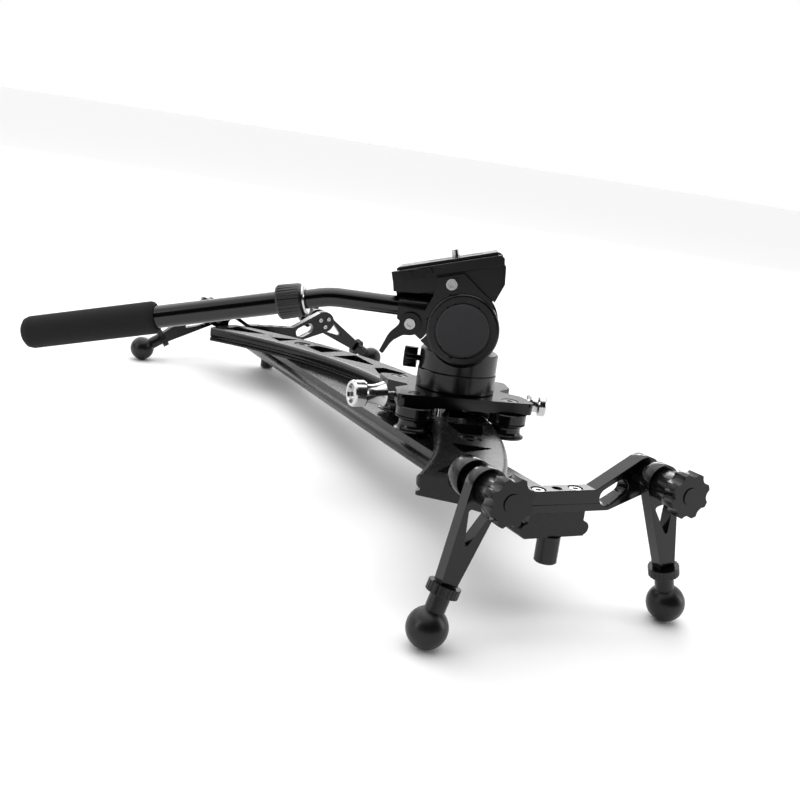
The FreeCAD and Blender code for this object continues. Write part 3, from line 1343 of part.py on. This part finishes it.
make_outer_tube()
make_collar()
make_collar_ring()
make_grip()

doc.recompute()
for thing in doc.Objects:
    if "Invalid" in thing.State or "Error" in thing.State:
        problems.append(f"{thing.Name}: {thing.State}")
for thing in parts:
    if thing.Shape.isNull() or not thing.Shape.isValid() or thing.Shape.Volume <= 0:
        problems.append(f"{thing.Label}: bad shape")
if problems:
    raise RuntimeError("; ".join(problems))
for thing in parts:
    thing.Shape.exportStep(f"parts/{thing.Label}.step")
box = FreeCAD.BoundBox()
for thing in parts:
    box.add(thing.Shape.BoundBox)
print(len(parts), "nodes; box", box, "middle", box.Center)
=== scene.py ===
import json
import math

import bpy
from mathutils import Matrix, Vector

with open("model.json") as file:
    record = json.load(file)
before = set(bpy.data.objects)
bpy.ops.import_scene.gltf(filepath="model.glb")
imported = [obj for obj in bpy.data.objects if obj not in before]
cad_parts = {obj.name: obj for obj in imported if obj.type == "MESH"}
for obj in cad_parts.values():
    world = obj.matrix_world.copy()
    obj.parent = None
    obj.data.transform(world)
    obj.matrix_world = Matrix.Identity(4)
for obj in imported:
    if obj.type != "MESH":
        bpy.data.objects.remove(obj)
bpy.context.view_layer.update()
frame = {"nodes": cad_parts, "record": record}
nodes = frame["nodes"]
MM = 0.001

# the camera: where it stands, which way it looks, and its lens
CAMERA_PLACE_MM = (736.2, -285.9, 285.1)
CAMERA_HEADING = 152.257        # degrees from +X towards +Y
CAMERA_PITCH = -15.550          # degrees above the level
CAMERA_ROLL = 9.095             # degrees, right side up
LENS_MM = 41.5
SENSOR_MM = 36.0
SIGHT = (0.05, 80.0)            # nearest and farthest that the camera sees, in metres

# the studio
FLOOR_HALF = 30.0               # half the floor's side, in metres
FLOOR_WHITE = 0.9
DARK_WALL = 0.012               # brightness of the room behind the camera
DARK_UNTIL = 0.30               # share of the room, from behind the camera, that is dark
BRIGHT_FROM = 0.56              # and the share from which it is white
ROOM_LEAN = 0.34                # how far the bright side of the room leans down
SKY_STRENGTH = 2.0
SKY_SPREAD = 100.0              # degrees
SKY_TILT = (12.0, -18.0)        # degrees about X and Y
# name of each lamp: place, aim, watts, width and height; all lengths in metres
SOFTBOXES = {
    "top_box": ((-0.2, 0.1, 2.4), (0, 0, 0), 20, 2.6, 2.6),
    "back_box": ((-2.6, 1.37, 1.15), (0, 0, 0.1), 26, 2.6, 0.5),
    "left_box": ((0.2, -2.2, 0.9), (0, 0, 0.1), 12, 0.6, 1.6),
    "right_box": ((1.0, 1.9, 0.9), (0, 0, 0.1), 10, 0.5, 1.6),
}


# ---------------------------------------------------------------- materials
def plain(name, colour, roughness, metallic=0.0, specular=0.5):
    """A material with its constant numbers set on the shader itself."""
    made = bpy.data.materials.new(name)
    made.use_nodes = True
    shader = made.node_tree.nodes["Principled BSDF"]
    shader.inputs["Base Color"].default_value = (*colour, 1.0)
    shader.inputs["Roughness"].default_value = roughness
    shader.inputs["Metallic"].default_value = metallic
    shader.inputs["Specular IOR Level"].default_value = specular
    return made


def noise_on_object(tree, scale, detail=2.0):
    """A noise that is fixed to the object, with so many grains per metre."""
    place = tree.nodes.new("ShaderNodeTexCoord")
    noise = tree.nodes.new("ShaderNodeTexNoise")
    noise.inputs["Scale"].default_value = scale
    noise.inputs["Detail"].default_value = detail
    tree.links.new(place.outputs["Object"], noise.inputs["Vector"])
    return noise


def grained(made, scale, depth_mm, detail=2.0):
    """Add a fine relief to a material."""
    tree = made.node_tree
    noise = noise_on_object(tree, scale, detail)
    bump = tree.nodes.new("ShaderNodeBump")
    bump.inputs["Distance"].default_value = depth_mm * MM
    tree.links.new(noise.outputs["Fac"], bump.inputs["Height"])
    tree.links.new(bump.outputs["Normal"], tree.nodes["Principled BSDF"].inputs["Normal"])
    return made


def scuffed(made, low, high, scale=60.0):
    """Let a material's roughness wander between two values."""
    tree = made.node_tree
    noise = noise_on_object(tree, scale)
    spread = tree.nodes.new("ShaderNodeMapRange")
    spread.inputs["To Min"].default_value = low
    spread.inputs["To Max"].default_value = high
    tree.links.new(noise.outputs["Fac"], spread.inputs["Value"])
    tree.links.new(spread.outputs["Result"], tree.nodes["Principled BSDF"].inputs["Roughness"])
    return made


BLACK = (0.002, 0.0018, 0.0022)
SOFT_BLACK = (0.004, 0.0036, 0.0042)
SLOTS = {
    # rail, track, brackets, carriage
    "anodised_black": scuffed(plain("anodised_black", SOFT_BLACK, 0.26, specular=0.3),
                              0.22, 0.32),
    "gloss_black": scuffed(plain("gloss_black", BLACK, 0.16, specular=0.35), 0.12, 0.2),
    "black_metal": plain("black_metal", SOFT_BLACK, 0.2, specular=0.35),
    "bolt_black": plain("bolt_black", (0.02, 0.02, 0.022), 0.3, metallic=0.6),
    # screws and brake knobs
    "bright_steel": scuffed(plain("bright_steel", (0.5, 0.5, 0.51), 0.26, metallic=1.0),
                            0.2, 0.32, 400.0),
    "chrome": plain("chrome", (0.56, 0.56, 0.57), 0.17, metallic=1.0),
    # feet and knobs
    "rubber_black": grained(plain("rubber_black", SOFT_BLACK, 0.34, specular=0.35),
                            900.0, 0.02),
    "knob_black": plain("knob_black", BLACK, 0.2, specular=0.3),
    # head
    "head_black": scuffed(plain("head_black", SOFT_BLACK, 0.24, specular=0.35), 0.18, 0.28),
    "cap_grey": grained(plain("cap_grey", (0.034, 0.034, 0.037), 0.7, specular=0.3),
                        1500.0, 0.05),
    # handle
    "tube_black": plain("tube_black", BLACK, 0.16),
    "collar_black": plain("collar_black", SOFT_BLACK, 0.34),
    "grip_foam": grained(plain("grip_foam", (0.012, 0.012, 0.0125), 0.85, specular=0.25),
                         1300.0, 0.25, 4.0),
}

# width in millimetres of the broken edges, by how a node's name starts
EDGE_BREAKS = {
    "base_rail": 0.4, "curved_track": 0.5, "bracket_near": 0.7, "bracket_far": 0.7,
    "carriage_plate": 0.7, "leg_arm": 0.9, "star_knob": 0.9, "tilt_cradle": 0.8,
    "cheek_handle_side": 0.7, "cheek_far_side": 0.7, "pan_lock_knob": 0.5, "plate_receiver": 0.6,
    "quick_plate": 0.4, "plate_lock_lever": 0.6, "handle_clamp": 0.8, "clamp_lever": 1.2,
}
EDGE_ANGLE = 38.0               # degrees; only sharper edges than this are broken
EDGE_STEPS = 2                  # faces across a broken edge
WELD_MM = 0.002                 # points closer than this count as one


def break_edges(node, width_mm):
    """Round off a node's sharp edges a little, without touching its mesh."""
    weld = node.modifiers.new("weld", "WELD")
    weld.merge_threshold = WELD_MM * MM
    bevel = node.modifiers.new("edge_break", "BEVEL")
    bevel.width = width_mm * MM
    bevel.segments = EDGE_STEPS
    bevel.limit_method = "ANGLE"
    bevel.angle_limit = math.radians(EDGE_ANGLE)
    bevel.harden_normals = True
    bevel.use_clamp_overlap = True


def dress(row):
    """Give one node of the frame its material and its edges."""
    node = nodes[row["node"]]
    node.data.materials.clear()
    node.data.materials.append(SLOTS[row["material_slot"]])
    for start, width_mm in EDGE_BREAKS.items():
        if row["node"].startswith(start):
            break_edges(node, width_mm)


# ---------------------------------------------------------------- floor, light and camera
def add(name, data):
    """A new object in the scene."""
    thing = bpy.data.objects.new(name, data)
    bpy.context.scene.collection.objects.link(thing)
    return thing


def heading(degrees):
    """The level direction at an angle from +X towards +Y."""
    return Vector((math.cos(math.radians(degrees)), math.sin(math.radians(degrees)), 0))


def room():
    """A room that is white to look at, and that lights the object less from behind the camera."""
    world = bpy.data.worlds.new("studio")
    world.use_nodes = True
    tree = world.node_tree
    place = tree.nodes.new("ShaderNodeTexCoord")
    toward = tree.nodes.new("ShaderNodeVectorMath")
    toward.operation = "DOT_PRODUCT"
    bright_side = heading(CAMERA_HEADING) - Vector((0, 0, ROOM_LEAN))
    toward.inputs[1].default_value = bright_side.normalized()
    share = tree.nodes.new("ShaderNodeMapRange")
    share.inputs["From Min"].default_value = -1.0
    share.inputs["From Max"].default_value = 1.0
    ramp = tree.nodes.new("ShaderNodeValToRGB")
    dark, bright = ramp.color_ramp.elements
    dark.position = DARK_UNTIL
    dark.color = (DARK_WALL, DARK_WALL, DARK_WALL, 1)
    bright.position = BRIGHT_FROM
    bright.color = (1, 1, 1, 1)
    tree.links.new(place.outputs["Generated"], toward.inputs[0])
    tree.links.new(toward.outputs["Value"], share.inputs["Value"])
    tree.links.new(share.outputs["Result"], ramp.inputs["Fac"])
    seen = tree.nodes.new("ShaderNodeLightPath")
    backdrop = tree.nodes.new("ShaderNodeMix")
    backdrop.data_type = "RGBA"
    backdrop.inputs["B"].default_value = (1, 1, 1, 1)
    tree.links.new(seen.outputs["Is Camera Ray"], backdrop.inputs["Factor"])
    tree.links.new(ramp.outputs["Color"], backdrop.inputs["A"])
    tree.links.new(backdrop.outputs["Result"], tree.nodes["Background"].inputs["Color"])
    bpy.context.scene.world = world


def floor():
    """A white floor."""
    half = FLOOR_HALF
    mesh = bpy.data.meshes.new("floor")
    mesh.from_pydata([(-half, -half, 0), (half, -half, 0), (half, half, 0), (-half, half, 0)], [],
                     [(0, 1, 2, 3)])
    mesh.materials.append(plain("floor_white", (FLOOR_WHITE,) * 3, 0.9, specular=0.1))
    add("floor", mesh)


def sky():
    """A wide soft light from above."""
    lamp = bpy.data.lights.new("sky", "SUN")
    lamp.energy = SKY_STRENGTH
    lamp.angle = math.radians(SKY_SPREAD)
    about_x, about_y = (math.radians(turn) for turn in SKY_TILT)
    add("sky", lamp).rotation_euler = (about_x, about_y, 0)


def softbox(name, place, aim, watts, width, height):
    """A rectangular area lamp that points at a spot."""
    lamp = bpy.data.lights.new(name, "AREA")
    lamp.shape = "RECTANGLE"
    lamp.energy = watts
    lamp.size = width
    lamp.size_y = height
    thing = add(name, lamp)
    thing.location = place
    thing.rotation_euler = (Vector(aim) - Vector(place)).to_track_quat("-Z", "Y").to_euler()


def main_camera():
    """The camera at the photograph's place and angle."""
    data = bpy.data.cameras.new("camera")
    data.lens = LENS_MM
    data.sensor_width = SENSOR_MM
    data.clip_start, data.clip_end = SIGHT
    camera = add("camera", data)
    camera.matrix_world = (Matrix.Translation(Vector(CAMERA_PLACE_MM) * MM)
                           @ Matrix.Rotation(math.radians(CAMERA_HEADING - 90), 4, "Z")
                           @ Matrix.Rotation(math.radians(CAMERA_PITCH + 90), 4, "X")
                           @ Matrix.Rotation(math.radians(CAMERA_ROLL), 4, "Z"))
    bpy.context.scene.camera = camera


for subpart in frame["record"]["subparts"]:
    dress(subpart)
room()
floor()
sky()
for box in SOFTBOXES:
    softbox(box, *SOFTBOXES[box])
main_camera()
bpy.context.scene.view_settings.view_transform = "Standard"
